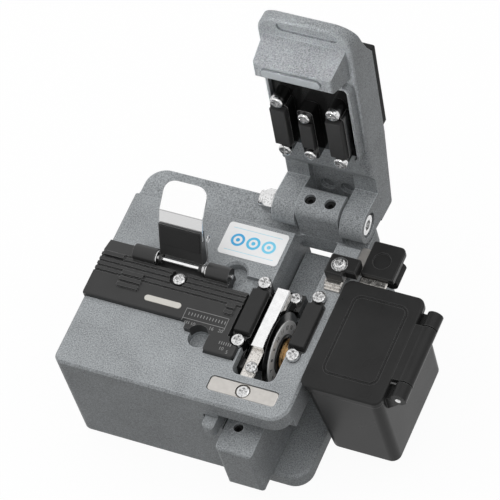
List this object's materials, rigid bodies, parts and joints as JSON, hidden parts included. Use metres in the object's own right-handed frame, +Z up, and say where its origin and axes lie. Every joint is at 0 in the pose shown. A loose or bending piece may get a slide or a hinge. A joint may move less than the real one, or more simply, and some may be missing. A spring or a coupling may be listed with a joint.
{
  "type": "fibre cleaver",
  "caption": "Optical fibre cleaver with a hinged press lid, a sliding carriage with a round indexed blade, a flip clamp on a ribbed fibre holder and a hinged scrap bin.",
  "frame": {"origin": "centre of the underside of the base pad, under the middle of the housing", "axes": "+X to the right along the fibre, towards the scrap bin; +Y from the push tab to the lid hinge; +Z up"},
  "size_m": [0.0931, 0.0895, 0.1018],
  "materials": {
    "cast_body": "fine sand-textured metallic grey paint",
    "cast_slide": "fine sand-textured metallic grey paint",
    "pad_rubber": "matt black rubber",
    "sheet_rubber": "matt black rubber sheet",
    "holder_black": "satin black anodised",
    "pad_holder_black": "gloss black",
    "screw_chrome": "bright nickel plated",
    "dark_screw": "black oxide steel",
    "steel_bright": "polished steel",
    "steel_brushed": "fine ground nickel plated steel",
    "blade_steel": "polished hard metal with mirror bevels",
    "brass": "turned brass",
    "ring_white": "matt white",
    "hub_black": "matt black",
    "label_white": "satin white film",
    "bin_black": "matt black moulded plastic"
  },
  "bodies": {
    "frame": {"housing": "cast_body", "base_pad": "sheet_rubber", "hinge_set_screws": "dark_screw", "hinge_bolt": "screw_chrome", "hinge_nut": "screw_chrome", "hinge_washer": "screw_chrome", "strike_plate": "steel_brushed", "strike_plate_screw": "screw_chrome", "fibre_holder": "holder_black", "fibre_holder_screw": "screw_chrome", "fibre_holder_insert": "label_white", "lower_left_pad_holder": "pad_holder_black", "lower_right_pad_holder": "pad_holder_black", "lower_left_pad": "pad_rubber", "lower_right_pad": "pad_rubber", "lower_pad_screws": "screw_chrome", "rest_strip": "steel_bright", "rest_strip_carrier": "steel_bright", "rest_strip_screw": "screw_chrome", "deck_label": "label_white", "clamp_rod": "steel_bright", "clamp_rod_clips": "steel_bright", "slide_rail": "steel_brushed", "scrap_bin": "bin_black", "scrap_bin_pin": "steel_bright", "collector_bracket": "bin_black", "collector_bracket_screw": "screw_chrome", "collector_shims": "steel_brushed", "collector_arm": "bin_black", "collector_arm_plate": "steel_brushed", "collector_drum": "pad_rubber", "collector_latch": "steel_bright"},
    "carriage": {"blade_carriage": "cast_slide", "slide_truck": "steel_brushed", "carriage_tab_screw": "dark_screw", "blade_block": "pad_holder_black", "blade_block_screw": "screw_chrome", "blade_axle": "steel_brushed", "blade_bush": "brass"},
    "blade_wheel": {"blade": "blade_steel", "blade_number_ring": "ring_white", "blade_hub": "hub_black"},
    "press_lid": {"lid": "cast_body", "lid_cover": "sheet_rubber", "lid_magnet": "steel_brushed", "upper_pad_base": "pad_holder_black", "upper_left_pad_holder": "pad_holder_black", "upper_right_pad_holder": "pad_holder_black", "upper_left_pad": "pad_rubber", "upper_right_pad": "pad_rubber", "anvil_block": "pad_holder_black", "anvil_pad": "pad_rubber", "upper_pad_screws": "screw_chrome"},
    "flip_clamp": {"clamp_block": "holder_black", "clamp_pad": "pad_rubber", "clamp_leaf": "steel_bright", "clamp_spring": "steel_bright"},
    "bin_cover": {"scrap_bin_lid": "bin_black"}
  },
  "joints": [
    {"name": "lid_hinge", "type": "hinge", "parent": "frame", "child": "press_lid", "pos_m": [0.02, 0.02725, 0.03846], "axis": [1, 0, 0], "range_deg": [0, 98]},
    {"name": "carriage_slide", "type": "slide", "parent": "frame", "child": "carriage", "axis": [0, 1, 0], "range_m": [0, 0.014]},
    {"name": "blade_turn", "type": "hinge", "parent": "carriage", "child": "blade_wheel", "pos_m": [0.02025, -0.0086, 0.0261], "axis": [1, 0, 0], "continuous": true},
    {"name": "clamp_flip", "type": "hinge", "parent": "frame", "child": "flip_clamp", "pos_m": [-0.0107, 0.00345, 0.0373], "axis": [1, 0, 0], "range_deg": [0, 111]},
    {"name": "bin_lid_hinge", "type": "hinge", "parent": "frame", "child": "bin_cover", "pos_m": [0.0583, -0.005, 0.0359], "axis": [0, 1, 0], "range_deg": [0, 110]}
  ]
}
